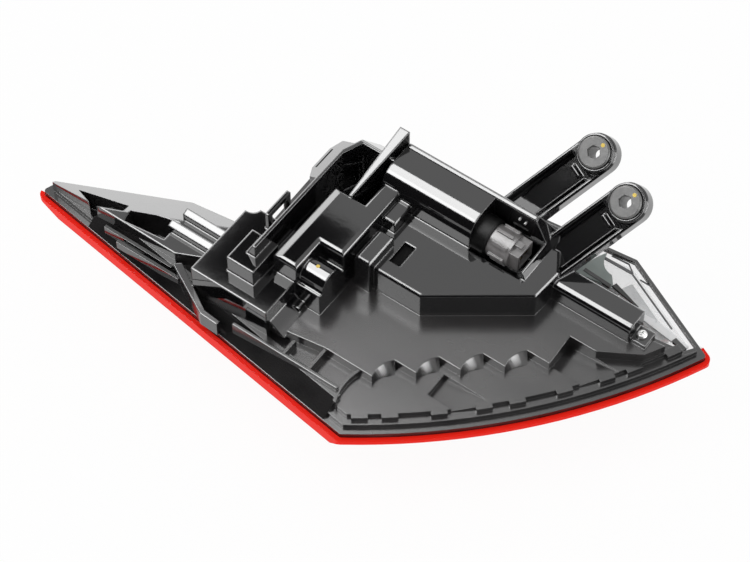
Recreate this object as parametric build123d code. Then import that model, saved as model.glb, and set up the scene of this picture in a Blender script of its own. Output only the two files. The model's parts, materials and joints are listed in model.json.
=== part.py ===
"""Outer tail lamp of a car, lying on its lens with the back of its housing up.

The frame is the lamp's own. The rim plane, where lens and housing meet, is Z = 0, +Z points out of
the back of the housing, and X runs along the long rounded box that holds the indicator bulb.
"""
import os
from math import atan2, cos, degrees, hypot, radians, sin, tan

from build123d import *

# Rim outline, seen from behind, at the outer edge of the housing flange
TIP_NEAR = (-190, -62)
TIP_FAR = (-187, -54)
KEEL = (45, -94)
NOSE = (178, 64)
SHOULDER = (112, 96.5)
CROWN = (-34, 80)
BROW = (-72, 64)
NOTCH = (-70, -18)
WING_ROOT = (-112, -19)
KEEL_TO_NOSE_BULGE = 14
CORNER_RADIUS = 2

# Walls and clearances
WALL = 2.5
LENS_WALL = 3
FIT_GAP = 0.2
BEAD_THICK = 1
# Cuts run past the faces they open by this much
PAST = 1

# Levels above the rim plane
FLANGE_BOTTOM = -4
FLANGE_TOP = 3
LEDGE_TOP = 6
LOWER_PLATE_TOP = 9
MAIN_PLATE_TOP = 15.5
BULGE_TOP = 28
SHELF_TOP = 33
PLATEAU_TOP = 34
BOSS_TOP = 42
BOX_TOP = 47
TOWER_TOP = 54
FIN_TOP = 63

# Steps of the rim: distance in from the outline
LEDGE_IN = 4
LOWER_PLATE_IN = 9

# Slope along the long near edge: how far it stops from both corners, how far in from the outline it
# starts and ends, and its crest
NEAR_SLOPE_ENDS = (38, 13)
NEAR_SLOPE_IN = (0.3, 10.5, 14)
NEAR_SLOPE_TOP = 12.5

# Colourless panel of the lens: the housing stops short of it
CLEAR_PANEL = [(86, 115), (86, 69), (102, 62.5), (147, 57.5), (166, 60), (174, 72), (150, 115)]

# Thin frame that carries the housing's rim on over the edge of that panel
PANEL_FRAME = 2

# Stepped edge between the lower and the main plate
STEP_START = (11, -60.6)
FIRST_TREAD = 31
TREAD = 14.5
STEP_PITCH = (18.2, 15.8)
STEP_COUNT = 4
STEP_BOW = 2.5
PLATE_LEFT = (-31.5, -67)
PLATE_RIGHT = (164, 58)
PLATE_NOSE = (154, 38)
PLATE_LAST_X = 131
PLATE_IN = 10

# Ramped recesses in the lower plate
RAMPS = [((70.5, 106), (-49, -33), 4), ((114, 150), (5, 24), 4)]

# Plateau with the electronics under it
PLATEAU_CORNERS = [(-18, -13), (40, -13), (90.5, 24), (92, 44), (84, 57), (-18, 57)]
PLATEAU_CHAMFER = 1.2
VENT_X, VENT_Y = 15.6, 4
VENT_WIDTH, VENT_LENGTH = 7, 15

# Long rounded box for the bulb and the sloped back behind it
TOWER_FRONT_Y = 29
TOWER_BACK_Y = 57
TOWER_LEFT_X = -45
TOWER_RIGHT_X = 80
TOWER_CREST_END_X = 70
POCKET_BACK_Y = 41
HIP = (5, 12)
TOWER_ROUND = 11
CREST_ROUND = 4
SLOPE_FOOT_Y = 84
SLOPE_FOOT_X = -71
CREST_LEFT_X = -17

# Upright fin in the pocket left of the crest, lower and thinner towards the front
FIN = [(-26, 11), (-24, 11), (-17.5, 57), (-24, 57)]
FIN_FRONT_TOP = 48

# Pocket for the twist-in bulb holder
HOLDER_POCKET_X = (43, 77)
HOLDER_POCKET_Y = (28, 53)
HOLDER_POCKET_FLOOR = 17
BULB_AXIS_Y = 40.5
BULB_AXIS_Z = 37

# Central box, its side pocket and the two pads beside it
BOX_X = (-36, -4.5)
BOX_Y = (-45, 12.5)
BOX_ROUND = 2.5
BOX_BEVEL = (5, 0.75)
NECK_LEFT_X = -16
NECK_BACK_Y = 31
SIDE_POCKET_FLOOR = 20
LIP = 2
LIP_FRONT_Y = -51
PAD_TOP = 42
PADS = [((-5, 4), (13, 31)), ((-1, 8.5), (-17, 6))]
PAD_BEVEL = 1.2

# Shelf to the left of the box, with its front step
SHELF_X = (-73, -21.5)
SHELF_Y = (-71, -17)
SHELF_STEP_X = (-56, -38)
SHELF_STEP_Y = (-60, -37)
SHELF_STEP_TOP = 45

# Square boss beside the box
BOSS_X = (-20, -4.5)
BOSS_Y = (-45, -23)
BOSS_ROUND = 9

# Rounded bulge at the right end and the screw past it
BULGE_X = (90, 142)
BULGE_Y = (39, 54)
BULGE_ROUND = 4
SCREW_XY = (146, 46)
SCREW_BOSS_TOP = 18
SCREW_BLOCK = 11

# Wing: raised frame with two compartments and ridges along it
WING_TOP = 19
WING_EDGE_TOP = 9
WING_FALL = 23
RIDGE_TOP = 25
RIDGES = [(-104, -60, -35.5), (-106, -60, -46.5)]
RIDGE_THICK = 4
RIDGE_FALL = 1.6
COMPARTMENTS = [
    [(-168, -55), (-136, -49), (-135, -55), (-152, -62)],
    [(-132, -52), (-118, -46), (-104, -43), (-104, -57), (-130, -60)],
]
COMPARTMENT_FLOOR = -1
WING_FIELD = [(-200, -20), (-200, -58), (-150, -61), (-70, -61), (-70, -20)]
WING_RIBS = [(-140, -92, -64.5), (-128, -84, -68.5)]
WING_RIB_TOP = 12.5
BRACE = [(-91, -66), (-87, -62.5), (-57, -80), (-46, -81), (-46, -84), (-58, -83.5)]
BRACE_TOP = 17

# Small ribs: frame along the near edge, ramp beside the shelf, staple on the left slope
RIB = 2
NEAR_RIB_X = (-40, 31)
NEAR_RIB_Y = -76
NEAR_CROSS_RIBS = [(-5, -66), (12, -61)]
BOWED_RIB = ((32, -59.5), (33, -84))
BOWED_RIB_BOW = 2.5
BOWED_RIB_TOP = 13
GUSSET_Y = (-68, -45)
GUSSET_RUN = 11
GUSSET_RISE = 9
STAPLE_X = (-56.5, -54)
STAPLE_Y = (-25, -5)
STAPLE_TOP = 46
STAPLE_BAR = 3.5
RIM_TEETH = [0.05, 0.13, 0.26, 0.38, 0.47, 0.6, 0.72, 0.8, 0.92]
TOOTH = (9, 2.5)
TAB = [(-62, 34), (-71, 34), (-74.5, 41), (-74.5, 58), (-71, 66), (-62, 66)]
TAB_TOP = 10
TAB_LEAN = 26
TAB_SLOT = ((-73, -72), (42, 58))

# Mounting arms, in a plane that leans towards -Y
ARM_LEAN = 37
ARM_TURN = 64
ARM_ROOTS = {"upper": (51, 68.5, 34), "lower": (83.5, 50, 34)}
ARM_REACH = 52
ARM_WIDTH = 23
ARM_DEPTH = 10
ARM_RAIL = 2.2
ARM_WEB = 3
ARM_BURIED = 16
ARM_TOOTH = (36, 8)
RING_RADIUS = 10.8
RING_RISE = 4

# Mounting bushes, for M6 studs
BUSH_RADIUS = 9.1
BUSH_RISE = 6
BUSH_SHANK = 6
BUSH_BORE = 6.6
BUSH_SEAT = -4
BUSH_HEX = 8
BUSH_HEX_DEPTH = 1.5
BUSH_CHAMFER = 0.8

# Lens bowl
LENS_LIP = 3
LENS_SHELF = 2
LENS_LIP_SIDE = [(-210, -63), (0, -40), (160, 69), (210, 73), (210, -130), (-210, -130)]
LENS_SKIRT = 3
LENS_LONG_SKIRT = 8
LENS_DEPTH = 42
LENS_NOSE_DEPTH = 5.2
LENS_CENTRE = (-5, 5)
LENS_DRAFT = 40
CORNER_REACH = 9
PANEL_THICK = 3

# Twist-in bulb holder and bulb, on one axis along X
HOLDER_HOLE = 8.8
HOLDER_SPIGOT = 8.6
HOLDER_INNER_X = 33
SEAL_RADIUS = 11.5
SEAL_LENGTH = 9
GRIP_RADIUS = 9.5
GRIP_LENGTH = 14
GRIP_RIBS = 8
GRIP_RIB = (2.4, 2)
PLUG_SIZE = (14, 12.5)
PLUG_LENGTH = 6
PLUG_WALL = 1.5
PLUG_KEY = (4, 2, 4.5)
BLADE_SIZE = (2.8, 0.8, 3.5)
BLADE_PITCH = 5
BULB_RADIUS = 7
BULB_SHOULDER = 4
BULB_GLASS = 26
CAP_RADIUS = 4.9
CAP_IN_HOLDER = 6
CAP_OUTSIDE = 3

# Indicator trough above the bulb
TROUGH_X = (-14, 28)
TROUGH_Y = (32, 54)
TROUGH_BOTTOM = 24
TROUGH_WALL = 1.2
TROUGH_ROUND = 9

# Trim behind the lens, hung on posts
BEZEL_TOP = -12
BEZEL_THICK = 2
BEZEL_IN = 14
BEZEL_REACH = 148
POST_RADIUS = 4
POSTS = {
    (-95, -41): WING_TOP,
    (58, -58): LOWER_PLATE_TOP,
    (112, -4): LOWER_PLATE_TOP,
    (134, 33): MAIN_PLATE_TOP,
}
SCREW_RADIUS = 1.4
SCREW_HEAD_RADIUS = 3
SCREW_HEAD = 2
SCREW_HEAD_ROUND = 0.8
CROSS_SLOT = (3.6, 0.8, 1)
SCREW_LENGTH = 9

# Stop light strip under the stepped edge
STRIP_CENTRE = (53, -9)
STRIP_TURN = 41
STRIP_BOARD = (112, 20)
STRIP_REFLECTOR = (96, 22)
STRIP_TOP = 6
BOARD_THICK = 1.6
LED_COUNT = 5
LED_PITCH = 19
LED_SIZE = 3.5
LED_HEIGHT = 1.2
CUP_MOUTH = 7.5
CUP_THROAT = 3
STRIP_POST_REACH = 52
WINDOW_EDGE = 2

# Tail light bar along the long near edge
GUIDE_RADIUS = 3
GUIDE_IN = 19
GUIDE_START = 0.2
GUIDE_END = 0.9
GUIDE_SLOT = 4
GUIDE_RAISE = 4
GUIDE_BOARD = (12, 14)
CLIP_SIZE = (5, 10, 5)
CLIP_PLACES = [0.08, 0.36, 0.64, 0.92]

# Driver board under the plateau
DRIVER_CENTRE = (11, 6)
DRIVER_BOARD = (50, 30)
DRIVER_TOP = 25.6
DRIVER_POSTS = [(-21, 11), (21, -11)]
CHIPS = [((-12, 3), (9, 9, 2)), ((3, -5), (6, 5, 1.5)), ((13, 5), (8, 8, 5))]

# Reflex reflector and reversing light
REFLEX_SIZE = (56, 16, 3)
REFLEX_CENTRE = (-25, -52)
REFLEX_GROOVE = 1.2
REFLEX_PITCH = 4
REVERSE_SIZE = (40, 8, 6)
REVERSE_SHARE = 0.6
REVERSE_IN = 12.5
REVERSE_LEDS = 3
REVERSE_PITCH = 12
REVERSE_CUP = 3.4
REVERSE_ROOM = (6, 40)

# Breather pad under the vent opening
VENT_PAD_MARGIN = 2
VENT_PAD_THICK = 1.5


# Helpers
def slab(face, bottom, top):
    """A flat face raised from one level to another."""
    return extrude(Pos(0, 0, bottom) * face, top - bottom, dir=(0, 0, 1))


def rectangle(xs, ys):
    """A flat face between two X and two Y values."""
    return Pos(sum(xs) / 2, sum(ys) / 2) * Rectangle(xs[1] - xs[0], ys[1] - ys[0])


def block(xs, ys, bottom, top):
    """An upright box between two X, two Y and two Z values."""
    return slab(rectangle(xs, ys), bottom, top)


def shrunk(span, inset):
    """A pair of values drawn in by the same amount at both ends."""
    return span[0] + inset, span[1] - inset


def inset_face(face, distance):
    """A flat face with its edge moved in, or out for a negative distance."""
    return offset(face, -distance, kind=Kind.INTERSECTION) if distance else face


def polygon(points):
    return Polygon(*points, align=None)


def along_x(profile, xs):
    """A Y-Z profile drawn along X."""
    return extrude(Pos(xs[0], 0, 0) * (Plane.YZ * profile), xs[1] - xs[0], dir=(1, 0, 0))


def along_y(profile, ys):
    """An X-Z profile drawn along Y."""
    return extrude(Pos(0, ys[0], 0) * (Plane.XZ * profile), ys[1] - ys[0], dir=(0, 1, 0))


def rounded_ridge(xs, ys, top, radius, inset, low):
    """A box along X with its upper edge at low Y rounded, drawn in by an inset."""
    front, back = shrunk(ys, inset)
    end = polygon([(front, low), (back, low), (back, top - inset), (front, top - inset)])
    crest = end.vertices().group_by(Axis.Y)[-1].sort_by(Axis.X)[0]
    return along_x(fillet(crest, radius - inset), shrunk(xs, inset))


def bevelled(solid, size):
    """A solid with the edges of its highest face cut off at an angle."""
    return chamfer(solid.faces().sort_by(Axis.Z)[-1].edges(), size)


def heading(start, end):
    """Length, direction and left-hand normal of a line in the plan."""
    x, y, _ = Vector(*end) - Vector(*start)
    run = hypot(x, y)
    return run, (x / run, y / run), (-y / run, x / run)


def turn_of(along):
    """Angle of a direction in the plan, in degrees from +X."""
    return degrees(atan2(along[1], along[0]))


# Plan of the lamp
def rim_plan():
    far_side = Polyline(NOSE, SHOULDER, CROWN, BROW, NOTCH, WING_ROOT, TIP_FAR, TIP_NEAR, KEEL)
    near_side = SagittaArc(KEEL, NOSE, -KEEL_TO_NOSE_BULGE)
    plan = make_face(far_side + near_side)
    return fillet(plan.vertices(), CORNER_RADIUS)


RIM = rim_plan()
HOUSING_PLAN = RIM - polygon(CLEAR_PANEL)


def main_plate_plan():
    """Main plate: everything behind a stair whose risers are bowed."""
    x, y = STEP_START[0] + FIRST_TREAD, STEP_START[1]
    run = Polyline(PLATE_LEFT, STEP_START, (x, y))
    for _ in range(STEP_COUNT):
        corner = (x + STEP_PITCH[0] - TREAD, y + STEP_PITCH[1])
        run += SagittaArc((x, y), corner, STEP_BOW)
        x, y = corner[0] + TREAD, corner[1]
        run += Line(corner, (x, y))
    (recess_x, _), (_, recess_y), _ = RAMPS[-1]
    far_y = max(SHOULDER[1], CROWN[1])
    run += Polyline((x, y), (recess_x, recess_y), (PLATE_LAST_X, recess_y), PLATE_NOSE, PLATE_RIGHT,
                    (PLATE_RIGHT[0], far_y), (PLATE_LEFT[0], far_y), PLATE_LEFT)
    return make_face(run) & inset_face(HOUSING_PLAN, PLATE_IN)


MAIN_PLATE = main_plate_plan()


# Housing masses, each drawn in by an inset so that the same form gives the outside and the hollow
def rim_tiers(inset, low):
    steps = [(0, FLANGE_TOP), (LEDGE_IN, LEDGE_TOP), (LOWER_PLATE_IN, LOWER_PLATE_TOP)]
    tiers = [slab(inset_face(HOUSING_PLAN, into + inset), low, top - inset) for into, top in steps]
    return Part() + tiers


def plateau(inset, low):
    raised = slab(inset_face(polygon(PLATEAU_CORNERS), inset), low, PLATEAU_TOP - inset)
    return bevelled(raised, PLATEAU_CHAMFER)


def tower(inset, low):
    """Back of the lamp: a flat crest with long slopes behind it and at its left end."""
    right_end = [(TOWER_CREST_END_X, TOWER_TOP), (TOWER_RIGHT_X, PLATEAU_TOP), (TOWER_RIGHT_X, low)]
    flank = polygon([(SLOPE_FOOT_X, low), (TOWER_LEFT_X, TOWER_TOP), *right_end])
    lengthwise = along_y(inset_face(flank, inset), shrunk((LIP_FRONT_Y, SLOPE_FOOT_Y), inset))
    left = back_slope((LIP_FRONT_Y, POCKET_BACK_Y + LIP), (SLOPE_FOOT_X, CREST_LEFT_X + WALL), inset, low)
    crest_x = (CREST_LEFT_X, TOWER_RIGHT_X)
    right = back_slope((TOWER_FRONT_Y + TOWER_ROUND, TOWER_BACK_Y), crest_x, inset, low)
    crest_y = (TOWER_FRONT_Y, TOWER_BACK_Y - CREST_ROUND)
    crest = rounded_ridge(crest_x, crest_y, TOWER_TOP, TOWER_ROUND, inset, low)
    return (left - side_pocket(inset) - hip_cut(inset) + right + crest) & lengthwise


def back_slope(ys, xs, inset, low):
    """Upright at its front, flat on top and sloping down behind to the rim from a round edge."""
    front, back = ys
    profile = polygon([(front, low), (front, TOWER_TOP), (back, TOWER_TOP), (SLOPE_FOOT_Y, low)])
    edge = profile.vertices().group_by(Axis.Y)[-1].sort_by(Axis.X)[-1]
    return along_x(inset_face(fillet(edge, CREST_ROUND), inset), shrunk(xs, inset))


def side_pocket(inset):
    """Deep pocket around the fin, with one far corner cut off."""
    left, right = TOWER_LEFT_X + LIP - inset, CREST_LEFT_X + WALL + PAST
    front, back = LIP_FRONT_Y - PAST, POCKET_BACK_Y + inset
    hip_ends = [(left + HIP[0], back), (left, back - HIP[1])]
    plan = polygon([(left, front), (right, front), (right, back), *hip_ends])
    return slab(plan, SIDE_POCKET_FLOOR - inset, FIN_TOP)


def hip_cut(inset):
    """Wedge that takes off the corner between the left slope and the back slope."""
    start = (TOWER_LEFT_X, POCKET_BACK_Y + LIP - HIP[1])
    _, along, outward = heading(start, (start[0] + HIP[0], start[1] + HIP[1]))
    run, drop = TOWER_LEFT_X - SLOPE_FOOT_X, TOWER_TOP - FLANGE_BOTTOM
    wedge = polygon([(0, PAST), (0, 0), (run, -drop), (2 * run, -drop), (2 * run, PAST)])
    side = Plane(origin=(*start, TOWER_TOP), x_dir=(*outward, 0), z_dir=(*along, 0))
    return side * slab(inset_face(wedge, -inset), -2 * drop, 2 * drop)


def central_box(inset, low):
    """Box that narrows at its back to a neck; only the outside has round edges."""
    (left, right), (front, back) = BOX_X, BOX_Y
    top = BOX_TOP - inset
    front_end = [(left, front), (BOSS_X[0], front), (BOSS_X[0], BOSS_Y[1]), (right, BOSS_Y[1])]
    neck_end = [(right, NECK_BACK_Y), (NECK_LEFT_X, NECK_BACK_Y), (NECK_LEFT_X, back)]
    box = slab(inset_face(polygon([*front_end, *neck_end, (left, back)]), inset), low, top)
    if not inset:
        box = fillet(box.faces().sort_by(Axis.Z)[-1].edges(), BOX_ROUND)
    run, fall = BOX_BEVEL
    side = polygon([(left, low), (right, low), (right, top), (left + run, top), (left, top - fall)])
    return box & along_y(side, (front, NECK_BACK_Y))


def shelf(inset, low):
    main = block(shrunk(SHELF_X, inset), shrunk(SHELF_Y, inset), low, SHELF_TOP - inset)
    step = block(shrunk(SHELF_STEP_X, inset), shrunk(SHELF_STEP_Y, inset), low, SHELF_STEP_TOP - inset)
    return main + step


def boss(inset, low):
    """Upright boss with a half-round top."""
    radius = BOSS_ROUND - inset
    middle = sum(BOSS_Y) / 2
    xs = shrunk(BOSS_X, inset)
    saddle = Pos(xs[0], middle, BOSS_TOP - BOSS_ROUND) * Rot(0, 90, 0) * Cylinder(
        radius, xs[1] - xs[0], align=(Align.CENTER, Align.CENTER, Align.MIN))
    return saddle + block(xs, shrunk(BOSS_Y, inset), low, BOSS_TOP - BOSS_ROUND)


def bulge(inset, low):
    side = SCREW_BLOCK - 2 * inset
    screw_block = Pos(*SCREW_XY) * slab(Rectangle(side, side), low, SCREW_BOSS_TOP - inset)
    return screw_block + rounded_ridge(BULGE_X, BULGE_Y, BULGE_TOP, BULGE_ROUND, inset, low)


def wing(inset, low):
    field = inset_face(HOUSING_PLAN, LEDGE_IN + inset) & inset_face(polygon(WING_FIELD), inset)
    run, along, outward = heading(TIP_FAR, WING_ROOT)
    far = -2 * WING_FALL
    profile = polygon([(0, low), (0, WING_EDGE_TOP), (-WING_FALL, WING_TOP), (far, WING_TOP), (far, low)])
    side = Plane(origin=(*TIP_FAR, 0), x_dir=(*outward, 0), z_dir=(*along, 0))
    return slab(field, low, WING_TOP - inset) & side * slab(inset_face(profile, inset), -run, 2 * run)


def near_slope(inset, low):
    """Bank along the long near edge that rises from the flange to a narrow crest."""
    run, along, inward = heading(TIP_NEAR, KEEL)
    foot, crest, back = NEAR_SLOPE_IN
    top = [(crest, NEAR_SLOPE_TOP), (back, NEAR_SLOPE_TOP)]
    profile = polygon([(foot, low), (foot, FLANGE_TOP), *top, (back, low)])
    side = Plane(origin=(*TIP_NEAR, 0), x_dir=(*inward, 0), z_dir=(*along, 0))
    first, last = NEAR_SLOPE_ENDS
    return side * slab(inset_face(profile, inset), first + inset, run - last - inset)


def pads(inset, low):
    solids = [block(shrunk(xs, inset), shrunk(ys, inset), low, PAD_TOP - inset) for xs, ys in PADS]
    return Part() + (solids if inset else [bevelled(pad, PAD_BEVEL) for pad in solids])


def body(inset):
    """Whole form of the housing without its arms; the inset form is its hollow."""
    low = FLANGE_BOTTOM - (PAST if inset else 0)
    masses = [tower, central_box, shelf, boss, bulge, wing, pads, plateau]
    upper = slab(inset_face(MAIN_PLATE, inset), low, MAIN_PLATE_TOP - inset)
    for mass in masses:
        upper += mass(inset, low)
    upper &= slab(inset_face(HOUSING_PLAN, LEDGE_IN + inset), low, FIN_TOP)
    form = rim_tiers(inset, low) + near_slope(inset, low) + upper - holder_pocket(inset)
    for ramp in RAMPS:
        form -= ramp_pocket(*ramp, inset)
    for outline in COMPARTMENTS:
        form -= slab(inset_face(polygon(outline), -inset), COMPARTMENT_FLOOR - inset, RIDGE_TOP)
    return form


def ramp_pocket(xs, ys, depth, inset):
    """Recess in the lower plate, deepest at low X and running out to nothing."""
    low_x, high_x = shrunk(xs, -inset)
    plate, above = LOWER_PLATE_TOP - inset, MAIN_PLATE_TOP - PAST
    profile = polygon([(low_x, above), (low_x, plate - depth), (high_x, plate), (high_x, above)])
    return along_y(profile, shrunk(ys, -inset))


def holder_pocket(inset):
    """Deep pocket, open at the top, that leaves room to turn the bulb holder."""
    return block(shrunk(HOLDER_POCKET_X, -inset), shrunk(HOLDER_POCKET_Y, -inset),
                 HOLDER_POCKET_FLOOR - inset, FIN_TOP)


# Mounting arms and their bushes
def arm_plane(root):
    lean, turn = radians(ARM_LEAN), radians(ARM_TURN)
    along = (cos(turn), sin(turn) * cos(lean), sin(turn) * sin(lean))
    return Plane(origin=root, x_dir=along, z_dir=(0, -sin(lean), cos(lean)))


def arm(root):
    """Open channel with a round end that carries a ring for the bush."""
    end = Pos(ARM_REACH, 0)
    shank = Pos((ARM_REACH - ARM_BURIED) / 2, 0) * Rectangle(ARM_REACH + ARM_BURIED, ARM_WIDTH)
    outline = shank + end * Circle(ARM_WIDTH / 2)
    trough = Pos(ARM_REACH / 2 - RING_RADIUS, 0) * Rectangle(ARM_REACH, ARM_WIDTH - 2 * ARM_RAIL)
    solid = slab(outline, -ARM_DEPTH, 0)
    solid -= slab(trough - end * Circle(RING_RADIUS), ARM_WEB - ARM_DEPTH, PAST)
    solid += Pos(ARM_TOOTH[0], 0) * slab(Rectangle(RIB, ARM_TOOTH[1]), -ARM_DEPTH, -ARM_WEB)
    solid += end * slab(Circle(RING_RADIUS), -ARM_DEPTH, RING_RISE)
    solid -= end * slab(Circle(BUSH_RADIUS + FIT_GAP), BUSH_SEAT, RING_RISE + PAST)
    solid -= end * slab(Circle(BUSH_SHANK + FIT_GAP), -ARM_DEPTH - PAST, BUSH_SEAT)
    return arm_plane(root) * solid


def bush(root):
    head = slab(Circle(BUSH_RADIUS), BUSH_SEAT, BUSH_RISE)
    head = chamfer(head.edges().sort_by(Axis.Z)[-1], BUSH_CHAMFER)
    solid = head + slab(Circle(BUSH_SHANK), -ARM_DEPTH, BUSH_SEAT)
    solid -= slab(Circle(BUSH_BORE / 2), -ARM_DEPTH - PAST, BUSH_RISE + PAST)
    solid -= slab(RegularPolygon(BUSH_HEX / 2, 6), BUSH_RISE - BUSH_HEX_DEPTH, BUSH_RISE + PAST)
    return arm_plane(root) * (Pos(ARM_REACH, 0) * solid)


def ribs():
    """Ribs, brace, ramp and staple that stand on the outside of the shell."""
    foot = LOWER_PLATE_TOP - WALL
    solids = [ridge(left, right, y, foot) for left, right, y in RIDGES]
    solids += [block((left, right), (y - RIB, y), foot, WING_RIB_TOP) for left, right, y in WING_RIBS]
    solids.append(slab(polygon(BRACE), foot, BRACE_TOP))
    solids.append(block(NEAR_RIB_X, (NEAR_RIB_Y - RIB, NEAR_RIB_Y), foot, MAIN_PLATE_TOP))
    solids += [block((x - RIB, x), (NEAR_RIB_Y - RIB, y), foot, MAIN_PLATE_TOP) for x, y in NEAR_CROSS_RIBS]
    solids.append(slab(bowed_rib(), foot, BOWED_RIB_TOP))
    wall, level = SHELF_X[1] - WALL / 2, MAIN_PLATE_TOP - WALL / 2
    ramp = polygon([(wall, level), (wall, level + GUSSET_RISE), (wall + GUSSET_RUN, level)])
    solids.append(along_y(ramp, GUSSET_Y))
    gap = block(shrunk(STAPLE_X, -PAST), shrunk(STAPLE_Y, STAPLE_BAR), 0, STAPLE_TOP - STAPLE_BAR)
    solids.append(block(STAPLE_X, STAPLE_Y, FLANGE_TOP, STAPLE_TOP) - gap)
    return solids + [tab()] + rim_teeth()


def bowed_rib():
    """Plan of the bowed rib that closes off the right end of the near rail."""
    (far_x, far_y), (near_x, near_y) = BOWED_RIB
    outer = SagittaArc((far_x, far_y), (near_x, near_y), -BOWED_RIB_BOW)
    inner = SagittaArc((near_x + RIB, near_y), (far_x + RIB, far_y), BOWED_RIB_BOW)
    near_end = Line((near_x, near_y), (near_x + RIB, near_y))
    return make_face(outer + near_end + inner + Line((far_x + RIB, far_y), (far_x, far_y)))


def ridge(left, right, back, foot):
    """Ridge along X; its top falls towards the front."""
    front = back - RIDGE_THICK
    top = [(back, RIDGE_TOP), (front, RIDGE_TOP - RIDGE_FALL)]
    return along_x(polygon([(front, foot), (back, foot), *top]), (left, right))


def tab():
    """Slotted tab on the left edge; its top leans out and down."""
    outer = min(x for x, _ in TAB)
    fall = (max(x for x, _ in TAB) - outer) * tan(radians(TAB_LEAN))
    low = (FLANGE_BOTTOM + FLANGE_TOP) / 2
    leaning = polygon([(outer, TAB_TOP - fall), (outer, low), (outer + fall, low), (TAB[0][0], TAB_TOP)])
    plate = slab(polygon(TAB), low, TAB_TOP) & along_y(leaning, (TAB[0][1], TAB[-1][1]))
    return plate - block(*TAB_SLOT, low - PAST, TAB_TOP)


def rim_teeth():
    """Short teeth along the bowed edge, from the lower plate out over the ledge."""
    x, y, radius = near_side_centre()
    start = atan2(KEEL[1] - y, KEEL[0] - x)
    sweep = atan2(NOSE[1] - y, NOSE[0] - x) - start
    tooth = block((radius - LOWER_PLATE_IN - WALL, radius - LOWER_PLATE_IN + TOOTH[1]),
                  (-TOOTH[0] / 2, TOOTH[0] / 2), FLANGE_TOP, LOWER_PLATE_TOP)
    return [Pos(x, y) * Rot(0, 0, degrees(start + sweep * share)) * tooth for share in RIM_TEETH]


def posts():
    """Posts under the housing for the trim and the boards; each runs into the middle of its roof."""
    into = WALL / 2
    spans = [(spot, BEZEL_TOP, roof - into) for spot, roof in POSTS.items()]
    spans += [(spot, STRIP_TOP + BOARD_THICK, MAIN_PLATE_TOP - into) for spot in strip_post_places()]
    spans += [(spot, DRIVER_TOP, PLATEAU_TOP - into) for spot in driver_post_places()]
    return [Pos(*spot) * slab(Circle(POST_RADIUS), foot, top) for spot, foot, top in spans]


def panel_frame():
    edge = RIM - inset_face(RIM, PANEL_FRAME)
    return slab(edge & inset_face(polygon(CLEAR_PANEL), -WALL), 0, FLANGE_TOP)


def fin():
    foot = SIDE_POCKET_FLOOR - WALL / 2
    xs, ys = zip(*FIN)
    front, back = min(ys), max(ys)
    side = polygon([(front, foot), (back, foot), (back, FIN_TOP), (front, FIN_FRONT_TOP)])
    return slab(polygon(FIN), foot, FIN_TOP) & along_x(side, (min(xs), max(xs)))


def housing():
    shell = body(0)
    shell += fin()
    shell += ribs()
    for root in ARM_ROOTS.values():
        shell += arm(root)
    shell -= holder_pocket(0)
    shell -= body(WALL)
    shell += panel_frame()
    shell += posts()
    thread_hole = slab(Circle(SCREW_RADIUS + FIT_GAP / 2), -SCREW_LENGTH - PAST, PAST)
    shell -= Pos(*SCREW_XY, SCREW_BOSS_TOP) * thread_hole
    vent = Pos(VENT_X, VENT_Y) * Rectangle(VENT_WIDTH, VENT_LENGTH)
    shell -= slab(vent, PLATEAU_TOP - WALL - PAST, PLATEAU_TOP + PAST)
    shell -= bulb_axis(HOLDER_POCKET_X[0] - 2 * WALL) * slab(Circle(HOLDER_HOLE), 0, 3 * WALL)
    return shell


# Lens
def draft_cut(start, end, into, reach, skirt):
    """Wedge outside a plane that leans in from one straight stretch of the rim."""
    run, along, inward = heading(start, end)
    side = Plane(origin=(*start, -skirt), x_dir=(*inward, 0), z_dir=(*along, 0))
    drop = 2 * LENS_DEPTH
    wedge = polygon([(into, 0), (into + drop * tan(radians(LENS_DRAFT)), -drop), (-drop, -drop), (-drop, 0)])
    before, after = reach
    return side * slab(wedge, -before, run + after)


def near_side_centre():
    """Centre and radius of the bowed stretch from keel to nose."""
    run, _, inward = heading(KEEL, NOSE)
    radius = ((run / 2)**2 + KEEL_TO_NOSE_BULGE**2) / (2 * KEEL_TO_NOSE_BULGE)
    back = radius - KEEL_TO_NOSE_BULGE
    x, y = [(KEEL[k] + NOSE[k]) / 2 + inward[k] * back for k in (0, 1)]
    return x, y, radius


def crown_radius():
    """Radius of the lens crown that runs from its full depth up to the depth left at the nose."""
    reach = hypot(NOSE[0] - LENS_CENTRE[0], NOSE[1] - LENS_CENTRE[1])
    rise = LENS_DEPTH - LENS_NOSE_DEPTH
    return (reach**2 / rise + rise) / 2


def lens_bowl(into, thickness):
    """Bowl under the rim: a crowned bottom and sides that lean in; the inner form is its hollow."""
    slope = tan(radians(LENS_DRAFT))
    drop = 2 * LENS_DEPTH
    bowl = slab(inset_face(RIM, into), -drop, 0)
    radius = crown_radius()
    bowl &= Pos(*LENS_CENTRE, radius - LENS_DEPTH) * Sphere(radius - thickness)
    bowl -= draft_cut(TIP_NEAR, KEEL, into, (CORNER_REACH, CORNER_REACH), LENS_LONG_SKIRT)
    corners = [NOSE, SHOULDER, CROWN, BROW, NOTCH, WING_ROOT, TIP_FAR]
    for start, end in zip(corners, corners[1:]):
        reach = (0 if start == NOTCH else CORNER_REACH, 0 if end == NOTCH else CORNER_REACH)
        bowl -= draft_cut(start, end, into, reach, LENS_SKIRT)
    x, y, radius = near_side_centre()
    hull = Pos(x, y, -LENS_SKIRT - drop / 2) * Cone(radius - into - drop * slope, radius - into, drop)
    hull += Pos(x, y, -LENS_SKIRT / 2) * Cylinder(radius - into, LENS_SKIRT)
    notch_apex = into / slope - LENS_SKIRT
    return (bowl & hull) - Pos(*NOTCH, notch_apex - drop / 2) * Cone(drop * slope, 0, drop)


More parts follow.
